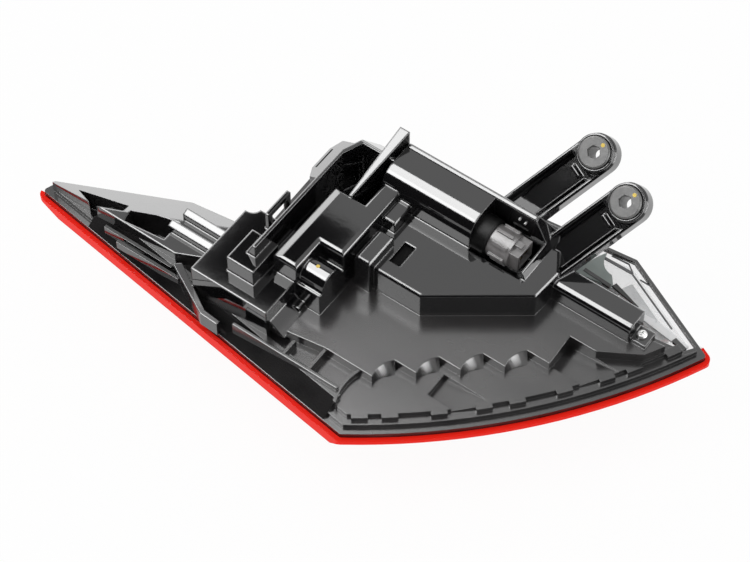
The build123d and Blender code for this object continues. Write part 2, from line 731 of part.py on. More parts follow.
def lens_shell():
    shell = lens_bowl(-LENS_LIP, 0) - lens_bowl(LENS_SHELF, LENS_WALL)
    shell &= slab(lens_reach(), -2 * LENS_DEPTH, PAST)
    return shell - slab(inset_face(RIM, -FIT_GAP), FLANGE_BOTTOM - BEAD_THICK, PAST)


def lens_reach():
    """Plan of the lens: flush with the housing, but with a lip along the two near edges."""
    return RIM + (inset_face(RIM, -LENS_LIP) & polygon(LENS_LIP_SIDE))


def red_lens():
    return lens_shell() - slab(polygon(CLEAR_PANEL), -2 * LENS_DEPTH, PAST)


def clear_lens():
    skirt = lens_shell() & slab(polygon(CLEAR_PANEL), -2 * LENS_DEPTH, PAST)
    window = RIM & polygon(CLEAR_PANEL)
    edge = window - inset_face(RIM, LENS_WALL)
    return skirt + slab(edge, FLANGE_BOTTOM - BEAD_THICK, 0) + slab(window, -PANEL_THICK, 0)


def lens_seal():
    ring = HOUSING_PLAN - inset_face(HOUSING_PLAN, LENS_SHELF)
    return slab(ring, FLANGE_BOTTOM - BEAD_THICK, FLANGE_BOTTOM)


# Bulb and its twist-in holder
def bulb_axis(x):
    """Plane across the bulb's axis at one X, facing +X."""
    return Plane(origin=(x, BULB_AXIS_Y, BULB_AXIS_Z), x_dir=(0, 1, 0), z_dir=(1, 0, 0))


GRIP_START = HOLDER_POCKET_X[0] + SEAL_LENGTH
PLUG_START = GRIP_START + GRIP_LENGTH


def bulb_holder():
    """Spigot through the wall, ribbed grip and the open plug, on the bulb's axis."""
    spigot = bulb_axis(HOLDER_INNER_X) * slab(Circle(HOLDER_SPIGOT), 0, GRIP_START - HOLDER_INNER_X)
    grip = slab(Circle(GRIP_RADIUS), 0, GRIP_LENGTH)
    rib = Pos(GRIP_RADIUS, 0) * slab(Rectangle(*GRIP_RIB), GRIP_RIB[1], GRIP_LENGTH - GRIP_RIB[1])
    grip += [Rot(0, 0, turn * 360 / GRIP_RIBS) * rib for turn in range(GRIP_RIBS)]
    plug = slab(Rectangle(*PLUG_SIZE), 0, PLUG_LENGTH)
    plug -= slab(inset_face(Rectangle(*PLUG_SIZE), PLUG_WALL), PLUG_WALL, PLUG_LENGTH + PAST)
    key_width, key_height, key_length = PLUG_KEY
    plug += Pos(0, (PLUG_SIZE[1] + key_height) / 2) * slab(Rectangle(key_width, key_height), 0, key_length)
    solid = spigot + bulb_axis(GRIP_START) * grip + bulb_axis(PLUG_START) * plug
    return solid - bulb_axis(HOLDER_INNER_X) * slab(Circle(CAP_RADIUS + FIT_GAP), -PAST, CAP_IN_HOLDER)


def holder_seal():
    washer = slab(Circle(SEAL_RADIUS) - Circle(HOLDER_SPIGOT), 0, SEAL_LENGTH)
    outer_edge = washer.edges().group_by(Axis.Z)[-1].sort_by(SortBy.LENGTH)[-1]
    return bulb_axis(HOLDER_POCKET_X[0]) * chamfer(outer_edge, BEAD_THICK)


def holder_terminals():
    width, thick, length = BLADE_SIZE
    blade = slab(Rectangle(width, thick), 0, length)
    floor = bulb_axis(PLUG_START + PLUG_WALL)
    return Part() + [floor * (Pos(side * BLADE_PITCH / 2, 0) * blade) for side in (-1, 1)]


def bulb():
    """Glass and cap of the bulb as one sealed solid, its cap in the holder."""
    cap = slab(Circle(CAP_RADIUS), -CAP_OUTSIDE, CAP_IN_HOLDER)
    glass = slab(Circle(BULB_RADIUS), -CAP_OUTSIDE - BULB_GLASS, -CAP_OUTSIDE)
    glass = chamfer(glass.edges().filter_by(GeomType.CIRCLE), BULB_SHOULDER)
    return bulb_axis(HOLDER_INNER_X) * (cap + glass)


def bulb_reflector():
    """Bright trough over the bulb, open towards the lens, up against the roof of its box."""
    front, back = TROUGH_Y
    roof = TOWER_TOP - WALL
    outer = polygon([(front, TROUGH_BOTTOM), (back, TROUGH_BOTTOM), (back, roof), (front, roof)])
    outer = fillet(outer.vertices().group_by(Axis.Y)[-1], TROUGH_ROUND)
    inner = inset_face(outer, TROUGH_WALL)
    trough = along_x(outer - inner, TROUGH_X)
    return trough - block(TROUGH_X, shrunk(TROUGH_Y, TROUGH_WALL), TROUGH_BOTTOM, TROUGH_BOTTOM + TROUGH_WALL)


# Screw past the bulge
def rear_screw():
    """Pan head with a cross slot, on a plain shank."""
    head = slab(Circle(SCREW_HEAD_RADIUS), 0, SCREW_HEAD)
    head = chamfer(head.edges().sort_by(Axis.Z)[-1], SCREW_HEAD_ROUND)
    reach, width, depth = CROSS_SLOT
    head -= slab(Rectangle(reach, width) + Rectangle(width, reach), SCREW_HEAD - depth, SCREW_HEAD + PAST)
    return Pos(*SCREW_XY, SCREW_BOSS_TOP) * (head + slab(Circle(SCREW_RADIUS), -SCREW_LENGTH, 0))


# Stop light strip
STRIP = Pos(*STRIP_CENTRE) * Rot(0, 0, STRIP_TURN)


def strip_point(along):
    turn = radians(STRIP_TURN)
    return STRIP_CENTRE[0] + along * cos(turn), STRIP_CENTRE[1] + along * sin(turn)


def strip_post_places():
    return [strip_point(-STRIP_POST_REACH), strip_point(STRIP_POST_REACH)]


def led_places():
    return [(i - (LED_COUNT - 1) / 2) * LED_PITCH for i in range(LED_COUNT)]


def led_board():
    return STRIP * slab(Rectangle(*STRIP_BOARD), STRIP_TOP, STRIP_TOP + BOARD_THICK)


def leds():
    chip = slab(Rectangle(LED_SIZE, LED_SIZE), STRIP_TOP - LED_HEIGHT, STRIP_TOP)
    return Part() + [STRIP * (Pos(x, 0) * chip) for x in led_places()]


def cup(mouth, throat, bottom, top):
    """Four-sided funnel, narrow at the top."""
    wide = Pos(0, 0, bottom) * Rectangle(2 * mouth, 2 * mouth)
    return loft([wide, Pos(0, 0, top) * Rectangle(2 * throat, 2 * throat)])


def led_reflector():
    """Tray of flared cups, one under each light."""
    tray = slab(Rectangle(*STRIP_REFLECTOR), BEZEL_TOP, STRIP_TOP)
    funnel = cup(CUP_MOUTH, CUP_THROAT, BEZEL_TOP, STRIP_TOP)
    tray -= [Pos(x, 0) * funnel for x in led_places()]
    return STRIP * tray


# Tail light bar
def guide_ends():
    """Two ends of the bar, parallel to the long near edge."""
    run, along, inward = heading(TIP_NEAR, KEEL)
    first, last = [Vector(*TIP_NEAR) + Vector(*along) * run * share for share in (GUIDE_START, GUIDE_END)]
    step_in = Vector(*inward) * GUIDE_IN
    return first + step_in, last + step_in


def guide_plane(share):
    """Plane across the bar at a share of its length, its X level and its Y up."""
    start, end = guide_ends()
    _, along, inward = heading(start, end)
    spot = start + (end - start) * share
    return Plane(origin=(spot.X, spot.Y, BEZEL_TOP + GUIDE_RAISE), x_dir=(*inward, 0), z_dir=(*along, 0))


def guide_length():
    return heading(*guide_ends())[0]


def light_guide():
    return guide_plane(0) * slab(Circle(GUIDE_RADIUS), 0, guide_length())


def guide_clips():
    length, width, height = CLIP_SIZE
    saddle = Pos(0, height / 2 - GUIDE_RAISE) * Rectangle(width, height) - Circle(GUIDE_RADIUS)
    slot = Rectangle(GUIDE_SLOT, 4 * height)
    cheeks = slab(saddle - slot, -length / 2, length / 2)
    return Part() + [guide_plane(share) * cheeks for share in CLIP_PLACES]


def guide_led():
    return guide_plane(1) * slab(Rectangle(LED_SIZE, LED_SIZE), 0, LED_HEIGHT)


def guide_board():
    board = Pos(0, GUIDE_BOARD[1] / 2 - GUIDE_RAISE) * Rectangle(*GUIDE_BOARD)
    return guide_plane(1) * slab(board, LED_HEIGHT, LED_HEIGHT + BOARD_THICK)


# Driver board
def driver_post_places():
    return [(DRIVER_CENTRE[0] + x, DRIVER_CENTRE[1] + y) for x, y in DRIVER_POSTS]


def driver_board():
    return Pos(*DRIVER_CENTRE) * slab(Rectangle(*DRIVER_BOARD), DRIVER_TOP - BOARD_THICK, DRIVER_TOP)


def driver_parts():
    bottom = DRIVER_TOP - BOARD_THICK
    chips = [Pos(*spot) * slab(Rectangle(length, width), bottom - height, bottom)
             for spot, (length, width, height) in CHIPS]
    return Pos(*DRIVER_CENTRE) * (Part() + chips)


def vent_filter():
    pad = Pos(VENT_X, VENT_Y) * Rectangle(VENT_WIDTH + 2 * VENT_PAD_MARGIN, VENT_LENGTH + 2 * VENT_PAD_MARGIN)
    roof = PLATEAU_TOP - WALL
    return slab(pad, roof - VENT_PAD_THICK, roof)


# Trim behind the lens
def inner_bezel():
    """Thin trim plate with a window for each light."""
    plan = inset_face(RIM, BEZEL_IN) & Pos(*LENS_CENTRE) * Circle(BEZEL_REACH)
    plan -= STRIP * inset_face(Rectangle(*STRIP_REFLECTOR), WINDOW_EDGE)
    plan -= rectangle(TROUGH_X, TROUGH_Y)
    bar_middle = guide_plane(0.5).origin
    slot = Rectangle(guide_length() - 2 * CLIP_SIZE[0], GUIDE_SLOT)
    plan -= Pos(bar_middle.X, bar_middle.Y) * Rot(0, 0, near_edge_turn()) * slot
    plan -= reverse_place() * Rectangle(REVERSE_SIZE[0] + REVERSE_ROOM[0], REVERSE_SIZE[1] + REVERSE_ROOM[1])
    return slab(plan, BEZEL_TOP - BEZEL_THICK, BEZEL_TOP)


def near_edge_turn():
    return turn_of(heading(TIP_NEAR, KEEL)[1])


def reflex_reflector():
    """Plate with rows of prism grooves on its front, along the long near edge."""
    length, width, height = REFLEX_SIZE
    groove = Rot(90, 0, 0) * slab(RegularPolygon(REFLEX_GROOVE, 4), -width, width)
    count = int(length / REFLEX_PITCH) - 1
    spots = [(i - (count - 1) / 2) * REFLEX_PITCH for i in range(count)]
    plate = slab(Rectangle(length, width), -height, 0) - [Pos(x, 0, -height) * groove for x in spots]
    return Pos(*REFLEX_CENTRE, BEZEL_TOP - BEZEL_THICK) * Rot(0, 0, near_edge_turn()) * plate


# Reversing light behind the colourless panel, along the edge from nose to shoulder
def reverse_place():
    run, along, inward = heading(NOSE, SHOULDER)
    spot = [NOSE[k] + along[k] * run * REVERSE_SHARE + inward[k] * REVERSE_IN for k in (0, 1)]
    return Pos(*spot) * Rot(0, 0, turn_of(along))


REVERSE = Pos(0, 0, -PANEL_THICK) * reverse_place()


def reverse_places():
    return [(i - (REVERSE_LEDS - 1) / 2) * REVERSE_PITCH for i in range(REVERSE_LEDS)]


def reverse_board():
    return REVERSE * slab(Rectangle(REVERSE_SIZE[0], REVERSE_SIZE[1]), -BOARD_THICK, 0)


def reverse_led():
    chip = slab(Rectangle(LED_SIZE, LED_SIZE), -BOARD_THICK - LED_HEIGHT, -BOARD_THICK)
    return Part() + [REVERSE * (Pos(x, 0) * chip) for x in reverse_places()]


def reverse_reflector():
    tray = slab(Rectangle(REVERSE_SIZE[0], REVERSE_SIZE[1]), -REVERSE_SIZE[2], -BOARD_THICK)
    funnel = cup(REVERSE_CUP, CUP_THROAT, -REVERSE_SIZE[2], -BOARD_THICK)
    tray -= [Pos(x, 0) * funnel for x in reverse_places()]
    return REVERSE * tray


def upper_bush():
    return bush(ARM_ROOTS["upper"])


def lower_bush():
    return bush(ARM_ROOTS["lower"])


PIECES = [
    housing, red_lens, clear_lens, lens_seal, upper_bush, lower_bush,
    bulb_holder, holder_seal, holder_terminals, bulb, bulb_reflector, rear_screw,
    inner_bezel, led_board, leds, led_reflector,
    light_guide, guide_clips, guide_led, guide_board,
    driver_board, driver_parts, vent_filter,
    reflex_reflector, reverse_reflector, reverse_board, reverse_led,
]

os.makedirs("parts", exist_ok=True)
for make in PIECES:
    piece = make()
    export_step(piece, f"parts/{make.__name__}.step")
    print(make.__name__, len(piece.solids()), round(piece.volume))
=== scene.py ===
"""Tail lamp lying on its lens, back of the housing up: finishes, small moulded details, studio and camera."""

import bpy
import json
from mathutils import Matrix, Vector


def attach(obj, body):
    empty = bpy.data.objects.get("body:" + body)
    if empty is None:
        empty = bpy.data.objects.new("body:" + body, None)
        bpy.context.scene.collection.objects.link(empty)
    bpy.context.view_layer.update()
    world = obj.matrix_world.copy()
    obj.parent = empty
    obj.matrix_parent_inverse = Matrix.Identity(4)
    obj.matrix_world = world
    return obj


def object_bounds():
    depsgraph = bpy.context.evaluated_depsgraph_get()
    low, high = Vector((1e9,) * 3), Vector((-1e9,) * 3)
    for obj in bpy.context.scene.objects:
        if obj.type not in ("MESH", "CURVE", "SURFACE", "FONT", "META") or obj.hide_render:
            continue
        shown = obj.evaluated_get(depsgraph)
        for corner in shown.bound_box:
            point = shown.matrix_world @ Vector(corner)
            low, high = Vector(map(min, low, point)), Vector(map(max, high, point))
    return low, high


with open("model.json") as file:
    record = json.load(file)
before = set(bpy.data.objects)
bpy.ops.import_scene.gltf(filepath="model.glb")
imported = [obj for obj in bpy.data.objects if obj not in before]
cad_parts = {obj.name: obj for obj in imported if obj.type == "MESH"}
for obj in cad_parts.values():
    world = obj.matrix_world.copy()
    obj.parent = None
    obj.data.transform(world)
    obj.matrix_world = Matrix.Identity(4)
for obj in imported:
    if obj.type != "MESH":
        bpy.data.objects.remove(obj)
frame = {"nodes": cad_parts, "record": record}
cad_box = [list(corner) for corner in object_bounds()]

import json
import math

import bmesh
import bpy
from mathutils import Matrix, Vector

UPWARD = Vector((0, 0, 1))

# Camera of the photograph: where it looks from, and how much it sees across at the lamp
CAMERA_AZIMUTH = math.radians(36)
CAMERA_ELEVATION = math.radians(55)
CAMERA_DISTANCE = 1.5
PICTURE_WIDTH = 0.42
SENSOR_WIDTH = 36

# Arms: their bushes' bores from the record, and how far they turn about that axis from the long box
MOUNTS = {mount["name"]: mount for mount in frame["record"]["mounts"]}
BUSH_BORES = {side: Vector(MOUNTS[f"{side}_bush_bore"]["pos_m"]) for side in ("upper", "lower")}
BUSH_AXIS = Vector(MOUNTS["upper_bush_bore"]["axis"])
ARM_TURN = math.radians(64)
ARM_HEADING = Matrix.Rotation(ARM_TURN, 3, BUSH_AXIS) @ Vector((1, 0, 0))
# From the middle of a bore up to the bush's top face
BUSH_RISE = 0.00875

# Paint dabs on the bushes, out from the middle along the arm, and on the boss
BUSH_MARK_OUT = 0.0064
BOSS_MARK = (-0.0135, -0.034, 0.0419)
MARK_RADIUS = 0.0013
MARK_HEIGHT = 0.0003

# Pins in the back wall of the holder's pocket
POCKET_PINS = [(0.0597, 0.0525, 0.0484), (0.0635, 0.0525, 0.0473)]
PIN_AXIS = (0, -1, 0)
PIN_RADIUS = 0.0009
PIN_LENGTH = 0.0016

# Dabs and pins are studs: number of sides, and how much of the radius is left at the end
STUD_SIDES = 24
STUD_TAPER = 0.8

# Extra rail in the trough of each arm, from the middle of the bush's top: along, across and up
RAIL_ALONG = (-0.052, -0.014)
RAIL_ACROSS = (-0.0072, -0.0062)
RAIL_UP = (-0.0132, -0.0078)

# Drafted facings of the bowed risers: where the first one starts, the way to the next, chord and bow
RISER_START = Vector((0.042, -0.0606, 0))
RISER_PITCH = Vector((0.0182, 0.0158, 0))
RISER_COUNT = 4
RISER_CHORD = Vector((0.0037, 0.0158, 0))
RISER_BOW = 0.0025
# Their foot and top levels, how far the foot stands out and over which part of a half wave it grows
RISER_LEVELS = (0.0088, 0.0153)
RISER_DRAFT = 0.0055
RISER_TAPER = 0.6
RISER_STEPS = 16
# How deep their backs sit in the riser, and how near points are to be one
RISER_SINK = 0.0002
MERGE_GAP = 0.00001

# Low lip along the back of the crest: its ends, and its section across as depth and height
CREST_LIP_X = (-0.0168, 0.0695)
CREST_LIP = [(0.0528, 0.0539), (0.0556, 0.0548), (0.0562, 0.053)]

# Bracket on the colourless panel: corners, then the round notch that closes it
BRACKET = [(0.095, 0.092), (0.092, 0.086), (0.0862, 0.0697), (0.109, 0.0735), (0.11, 0.075)]
NOTCH_MIDDLE = (0.1056, 0.0905)
NOTCH_RADIUS = 0.01
NOTCH_ANGLES = (-90, -174)
NOTCH_STEPS = 8
BRACKET_THICK = 0.0015

# Lines moulded on the panel: start, end and the widths there; the slot and rib lines are dark strips of
# painted shade
# Slots: black strips of painted shade where the slots show dark
SHADED_SLOT_LINES = [
    ((0.091, 0.0746), (0.109, 0.0735), 0.0022, 0.0022),
    ((0.1104, 0.0756), (0.1294, 0.0706), 0.003, 0.0006),
    ((0.157, 0.064), (0.1655, 0.0615), 0.003, 0.003),
]
SHADED_SLOT_THICK = 0.0019
# Ribs: grey strips that paint the dark lines the panel's ribs show
RIB_SHADE_LINES = [
    ((0.0955, 0.0886), (0.1133, 0.0888), 0.0016, 0.0016),
    ((0.1133, 0.0888), (0.152, 0.07), 0.0008, 0.0008),
    ((0.098, 0.0922), (0.109, 0.093), 0.0006, 0.0006),
    ((0.109, 0.093), (0.1144, 0.0888), 0.0006, 0.0006),
    ((0.12, 0.0876), (0.126, 0.0875), 0.0006, 0.0006),
]
RIB_SHADE_THICK = 0.0008
SEAT_LINES = [
    ((0.13, 0.0675), (0.1424, 0.067), 0.0025, 0.005),
    ((0.1424, 0.067), (0.1655, 0.0632), 0.005, 0.004),
]
SEAT_THICK = 0.0012

# All finishes: noise, the part of it that is spread out, and scales of gloss and relief beside the grain
CLOUD_DETAIL = 3
CLOUD_BAND = (0.3, 0.7)
GLOSS_GRAIN = 0.4
RELIEF_GRAIN = 2
# How finely their rounded edges are worked out
ROUNDING_SAMPLES = 8
# Sockets of a colour mix, by number because its names stand for values too
MIX_FACTOR = 0
MIX_DARK = 6
MIX_LIGHT = 7
MIX_RESULT = 2

# Black plastic: its shade and the lighter shade of its painted reflection, grain and depth of its relief, and
# how strongly it mirrors
BLACK_AND_REFLECTION_SHADES = ((0.004, 0.004, 0.0045), (0.036, 0.034, 0.034))
BLACK_GRAIN = 80
BLACK_RELIEF = 0.00003
BLACK_IOR = 1.8
# Heights and lengths between which it goes from dull plates to polished forms
PLATE_BAND = (0.0165, 0.019)
WING_BAND = (-0.075, -0.06)
POLISHED = 0.07
PLATE_ROUGH = 0.19
# Painted cloudy reflection on the low plates, lighter than their black, fainter on the raised forms
REFLECTION_CLOUD_SIZE = 16
REFLECTION_CLOUD_STRETCH = (1, 2, 1)
REFLECTION_ON_FORMS = 0.12
# Its edges: sharper on the rim than on the forms above it
RIM_BAND = (0.0125, 0.0195)
RIM_EDGE = 0.0002
FORM_EDGE = 0.0014

# Red lens: shades, surface, and the flutes inside the bowl that show through below the lip
RED_SHADES = ((0.68, 0.006, 0.003), (1, 0.021, 0.011))
RED_ROUGH = (0.05, 0.1)
RED_GRAIN = 60
RED_RELIEF = 0.00003
RED_EDGE = 0.0006
RED_IOR = 1.12
FLUTE_SCALE = 60
LIP_BAND = (-0.009, -0.0065)

# Other finishes: shades, roughness, size of the grain, depth of the relief, edge radius and more sockets
LOOKS = {
    "pale_acrylic": dict(dark=(0.26, 0.3, 0.285), light=(0.33, 0.37, 0.355), rough=(0.1, 0.2), grain=80,
                         height=0.00003),
    "clear_acrylic": dict(dark=(0.95, 0.97, 0.98), light=(0.98, 0.99, 1), rough=(0.02, 0.05), grain=60,
                          height=0.00002, sockets={"IOR": 1.3, "Alpha": 0.14}),
    "black_rubber": dict(dark=(0.003, 0.003, 0.003), light=(0.006, 0.006, 0.006), rough=(0.35, 0.5),
                         grain=300, height=0.0001, sockets={"Specular IOR Level": 0.15}),
    "bush_grey": dict(dark=(0.12, 0.12, 0.12), light=(0.17, 0.17, 0.165), rough=(0.3, 0.45), grain=250,
                      height=0.00005, edge=0.0004),
    "holder_grey": dict(dark=(0.12, 0.115, 0.115), light=(0.2, 0.19, 0.19), rough=(0.28, 0.4), grain=200,
                        height=0.00005, edge=0.0005, sockets={"IOR": 1.7}),
    "brass": dict(dark=(0.6, 0.45, 0.2), light=(0.75, 0.6, 0.3), rough=(0.2, 0.35), grain=300,
                  height=0.00003, sockets={"Metallic": 1}),
    "amber_glass": dict(dark=(0.85, 0.4, 0.05), light=(0.95, 0.5, 0.1), rough=(0.02, 0.06), grain=80,
                        height=0.00002, sockets={"Transmission Weight": 0.6}),
    "metallised": dict(dark=(0.75, 0.75, 0.77), light=(0.85, 0.85, 0.87), rough=(0.05, 0.15), grain=60,
                       height=0.00003, sockets={"Metallic": 1}),
    "zinc_steel": dict(dark=(0.5, 0.5, 0.5), light=(0.65, 0.65, 0.64), rough=(0.25, 0.4), grain=400,
                       height=0.00004, edge=0.0003, sockets={"Metallic": 1}),
    "trim_grey": dict(dark=(0.1, 0.1, 0.105), light=(0.14, 0.14, 0.145), rough=(0.35, 0.5), grain=300,
                      height=0.00008),
    "solder_green": dict(dark=(0.01, 0.1, 0.03), light=(0.02, 0.15, 0.05), rough=(0.25, 0.4), grain=200,
                         height=0.00004),
    "led_resin": dict(dark=(0.85, 0.75, 0.3), light=(0.95, 0.88, 0.45), rough=(0.2, 0.3), grain=300,
                      height=0.00003),
    "chip_black": dict(dark=(0.015, 0.015, 0.015), light=(0.03, 0.03, 0.03), rough=(0.4, 0.6), grain=500,
                       height=0.00006),
    "plain_white": dict(dark=(0.86, 0.87, 0.88), light=(0.95, 0.95, 0.95), rough=(0.3, 0.45), grain=200,
                        height=0.00003),
    "felt": dict(dark=(0.004, 0.004, 0.004), light=(0.01, 0.01, 0.01), rough=(0.85, 1), grain=900,
                 height=0.0003, sockets={"Specular IOR Level": 0.1}),
    "paint_yellow": dict(dark=(0.75, 0.5, 0.02), light=(0.85, 0.62, 0.05), rough=(0.3, 0.5), grain=600,
                         height=0.00005),
}

# Which nodes wear which finish
WORN_BY = {
    "gloss_black": ["housing", "guide_clips"],
    "red_acrylic": ["red_lens", "reflex_reflector"],
    "clear_acrylic": ["clear_lens", "light_guide"],
    "black_rubber": ["lens_seal", "holder_seal"],
    "bush_grey": ["upper_bush", "lower_bush"],
    "holder_grey": ["bulb_holder"],
    "brass": ["holder_terminals"],
    "amber_glass": ["bulb"],
    "metallised": ["bulb_reflector", "led_reflector"],
    "zinc_steel": ["rear_screw"],
    "trim_grey": ["inner_bezel"],
    "solder_green": ["led_board", "guide_board", "driver_board"],
    "plain_white": ["reverse_board", "reverse_reflector"],
    "led_resin": ["leds", "guide_led", "reverse_led"],
    "chip_black": ["driver_parts"],
    "felt": ["vent_filter"],
}

# White floor and surroundings: the floor's glow leaves a faint shadow, and the ambient lights the part
FLOOR_SIZE = 6
FLOOR_WHITE = (0.95, 0.95, 0.95, 1)
FLOOR_ROUGH = 0.9
FLOOR_GLOW = 0.95
AMBIENT = 0.75

# Lights of the studio: one key, and cards that only the gloss shows
SOFTBOXES = {
    "key": dict(place=(-1.05, -0.75, 1.57), width=1, height=1, radiance=2, gloss_only=False),
    "top_card": dict(place=(-1.05, -0.5, 2.4), width=1.2, height=2.9, radiance=9, level=True),
    "back_card": dict(place=(-0.9, 1.2, 0.3), width=3, height=0.85, radiance=3),
    "left_card": dict(place=(-0.977, 0.681, 0.873), width=0.52, height=0.52, radiance=5),
    "right_card": dict(place=(1.2, 0.48, 0.27), width=1.3, height=0.55, radiance=7),
}

# Black flags: an upright one in front, and a small level one that the shelf and the box mirror
FLAG_BLACK = (0.002, 0.002, 0.002, 1)
FRONT_FLAG_X = (-2.5, 2.5)
FRONT_FLAG_Y = -1.3
FRONT_FLAG_Z = (0, 1.8)
BACK_FLAG_X = (-0.25, -0.16)
BACK_FLAG_Y = (0.124, 0.2)
BACK_FLAG_HEIGHT = 0.4


# Node helpers
def new_finish(name):
    """An empty finish: the material, its node tree and its shader."""
    material = bpy.data.materials.new(name)
    material.use_nodes = True
    tree = material.node_tree
    return material, tree, tree.nodes["Principled BSDF"]


def pattern(tree, scale, stretch=(1, 1, 1)):
    """Cloudy pattern that sits still on the part."""
    coords = tree.nodes.new("ShaderNodeTexCoord")
    place = tree.nodes.new("ShaderNodeMapping")
    place.inputs["Scale"].default_value = stretch
    noise = tree.nodes.new("ShaderNodeTexNoise")
    noise.inputs["Scale"].default_value = scale
    noise.inputs["Detail"].default_value = CLOUD_DETAIL
    tree.links.new(coords.outputs["Object"], place.inputs["Vector"])
    tree.links.new(place.outputs["Vector"], noise.inputs["Vector"])
    return noise.outputs["Fac"]


def ranged(tree, source, band, low, high):
    """A value that goes from low to high while its source crosses a band."""
    ramp = tree.nodes.new("ShaderNodeMapRange")
    for socket, value in zip(("From Min", "From Max", "To Min", "To Max"), (*band, low, high)):
        ramp.inputs[socket].default_value = value
    tree.links.new(source, ramp.inputs["Value"])
    return ramp.outputs["Result"]


def along_axis(tree, axis, band, low, high):
    """A value that changes across a band of one axis of the part."""
    coords = tree.nodes.new("ShaderNodeTexCoord")
    split = tree.nodes.new("ShaderNodeSeparateXYZ")
    tree.links.new(coords.outputs["Object"], split.inputs["Vector"])
    return ranged(tree, split.outputs[axis], band, low, high)


def joined(tree, operation, first, second):
    """Two values put together."""
    node = tree.nodes.new("ShaderNodeMath")
    node.operation = operation
    tree.links.new(first, node.inputs[0])
    tree.links.new(second, node.inputs[1])
    return node.outputs[0]


def tinted(tree, source, dark, light):
    """A value turned into a shade between two colours."""
    node = tree.nodes.new("ShaderNodeMix")
    node.data_type = "RGBA"
    node.inputs[MIX_DARK].default_value = (*dark, 1)
    node.inputs[MIX_LIGHT].default_value = (*light, 1)
    tree.links.new(source, node.inputs[MIX_FACTOR])
    return node.outputs[MIX_RESULT]


def relief(tree, source, height, edge):
    """Surface normal with a fine relief, and with edges rounded by a small radius."""
    bump = tree.nodes.new("ShaderNodeBump")
    bump.inputs["Distance"].default_value = height
    tree.links.new(source, bump.inputs["Height"])
    if edge:
        rounding = tree.nodes.new("ShaderNodeBevel")
        rounding.samples = ROUNDING_SAMPLES
        rounding.inputs["Radius"].default_value = edge
        tree.links.new(rounding.outputs["Normal"], bump.inputs["Normal"])
    return bump.outputs["Normal"]


# Finishes
def worked_surface(tree, shader, rough, grain, height, edge):
    """Gloss and relief that vary a little over a surface."""
    gloss = ranged(tree, pattern(tree, grain * GLOSS_GRAIN), CLOUD_BAND, *rough)
    bumps = relief(tree, pattern(tree, grain * RELIEF_GRAIN), height, edge)
    tree.links.new(gloss, shader.inputs["Roughness"])
    tree.links.new(bumps, shader.inputs["Normal"])


def finish(name, dark, light, rough, grain, height, edge=0, sockets=None):
    """A moulded or worked surface whose shade varies a little too."""
    material, tree, shader = new_finish(name)
    shade = ranged(tree, pattern(tree, grain), CLOUD_BAND, 0, 1)
    tree.links.new(tinted(tree, shade, dark, light), shader.inputs["Base Color"])
    worked_surface(tree, shader, rough, grain, height, edge)
    for socket, value in (sockets or {}).items():
        shader.inputs[socket].default_value = value
    return material


def moulded_black():
    """Glossy black plastic: the low plates are duller and carry a painted cloudy reflection, the raised forms
    are polished.
    """
    material, tree, shader = new_finish("gloss_black")
    # Painted reflection: cloudy lighter patches in the colour, strong on the low plates and faint on the
    # raised forms
    reflection_clouds = ranged(tree, pattern(tree, REFLECTION_CLOUD_SIZE, REFLECTION_CLOUD_STRETCH), CLOUD_BAND, 0, 1)
    painted_reflection = joined(tree, "MULTIPLY", reflection_clouds, along_axis(tree, "Z", PLATE_BAND, 1, REFLECTION_ON_FORMS))
    by_height = along_axis(tree, "Z", PLATE_BAND, PLATE_ROUGH, POLISHED)
    by_length = along_axis(tree, "X", WING_BAND, POLISHED, PLATE_ROUGH)
    bumps = relief(tree, pattern(tree, BLACK_GRAIN), BLACK_RELIEF, FORM_EDGE)
    edge = along_axis(tree, "Z", RIM_BAND, RIM_EDGE, FORM_EDGE)
    tree.links.new(tinted(tree, painted_reflection, *BLACK_AND_REFLECTION_SHADES), shader.inputs["Base Color"])
    tree.links.new(joined(tree, "MINIMUM", by_height, by_length), shader.inputs["Roughness"])
    tree.links.new(bumps, shader.inputs["Normal"])
    tree.links.new(edge, tree.nodes["Bevel"].inputs["Radius"])
    shader.inputs["IOR"].default_value = BLACK_IOR
    return material


def fluted_red():
    """Red lens: plain at its lip, with soft upright flutes below it."""
    material, tree, shader = new_finish("red_acrylic")
    coords = tree.nodes.new("ShaderNodeTexCoord")
    flutes = tree.nodes.new("ShaderNodeTexWave")
    flutes.inputs["Scale"].default_value = FLUTE_SCALE
    tree.links.new(coords.outputs["Object"], flutes.inputs["Vector"])
    shade = joined(tree, "MAXIMUM", flutes.outputs["Fac"], along_axis(tree, "Z", LIP_BAND, 0, 1))
    tree.links.new(tinted(tree, shade, *RED_SHADES), shader.inputs["Base Color"])
    worked_surface(tree, shader, RED_ROUGH, RED_GRAIN, RED_RELIEF, RED_EDGE)
    shader.inputs["IOR"].default_value = RED_IOR
    return material


FINISHES = {name: finish(name, **look) for name, look in LOOKS.items()}
FINISHES["gloss_black"] = moulded_black()
FINISHES["red_acrylic"] = fluted_red()
for finish_name, nodes in WORN_BY.items():
    for node in nodes:
        mesh = frame["nodes"][node].data
        mesh.materials.clear()
        mesh.materials.append(FINISHES[finish_name])


# Small pieces
def placed(name, shape, material):
    """Object made of a finished shape."""
    mesh = bpy.data.meshes.new(name)
    shape.to_mesh(mesh)
    shape.free()
    mesh.materials.append(material)
    thing = bpy.data.objects.new(name, mesh)
    bpy.context.scene.collection.objects.link(thing)
    return thing


def add_piece(name, shape, finish_name):
    """Put a finished shape on the part with its finish."""
    bmesh.ops.recalc_face_normals(shape, faces=shape.faces)
    piece = placed(name, shape, FINISHES[finish_name])
    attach(piece, "root")


def flat_face(shape, corners):
    """Face between a few corners."""
    return shape.faces.new([shape.verts.new(corner) for corner in corners])


